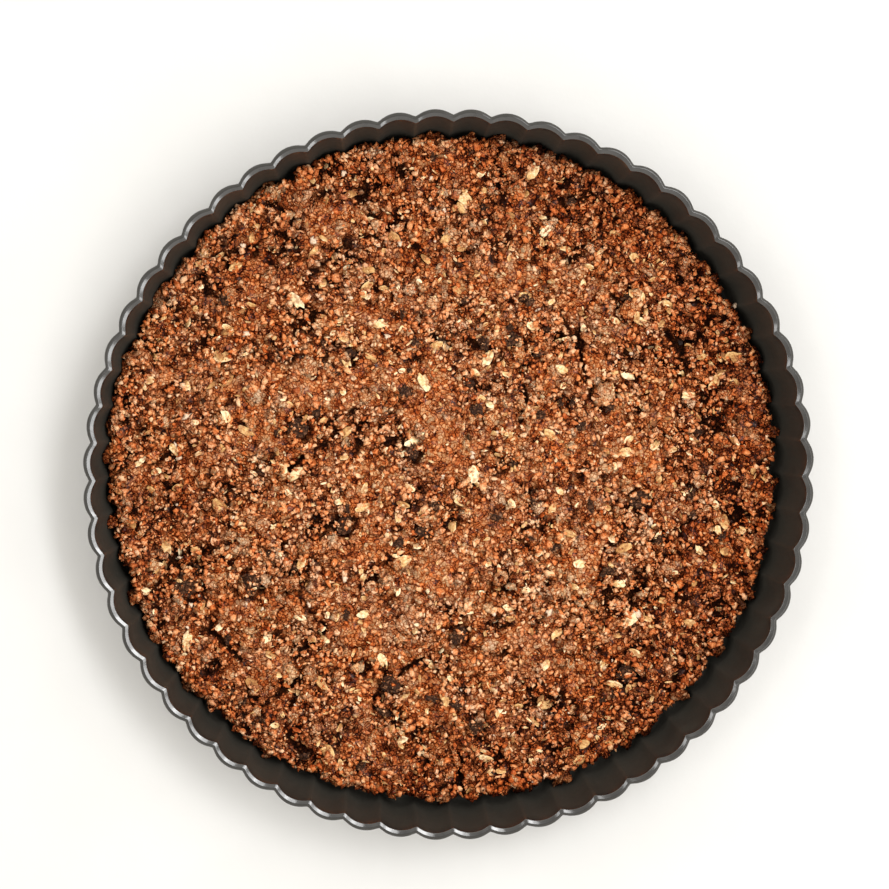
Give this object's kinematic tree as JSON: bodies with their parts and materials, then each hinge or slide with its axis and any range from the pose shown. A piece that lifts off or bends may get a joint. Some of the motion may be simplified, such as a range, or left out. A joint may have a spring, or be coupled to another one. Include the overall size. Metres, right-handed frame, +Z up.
{
  "type": "chocolate tart",
  "caption": "Shallow round tart shell of pressed cocoa and oat crumb, unfilled, in its own fluted metal tin with a flared wall and rolled rim.",
  "frame": {"origin": "middle of the tin's flat underside", "axes": "+Z up out of the tart; +Y towards the top of the picture, which looks down on it"},
  "size_m": [0.2794, 0.2794, 0.03],
  "materials": {
    "tin": "dark satin non-stick coating on pressed steel",
    "crust": "dry baked cocoa and oat crumb, coarse and matt"
  },
  "bodies": {
    "root": {"tin": "tin", "crust": "crust"}
  },
  "joints": []
}
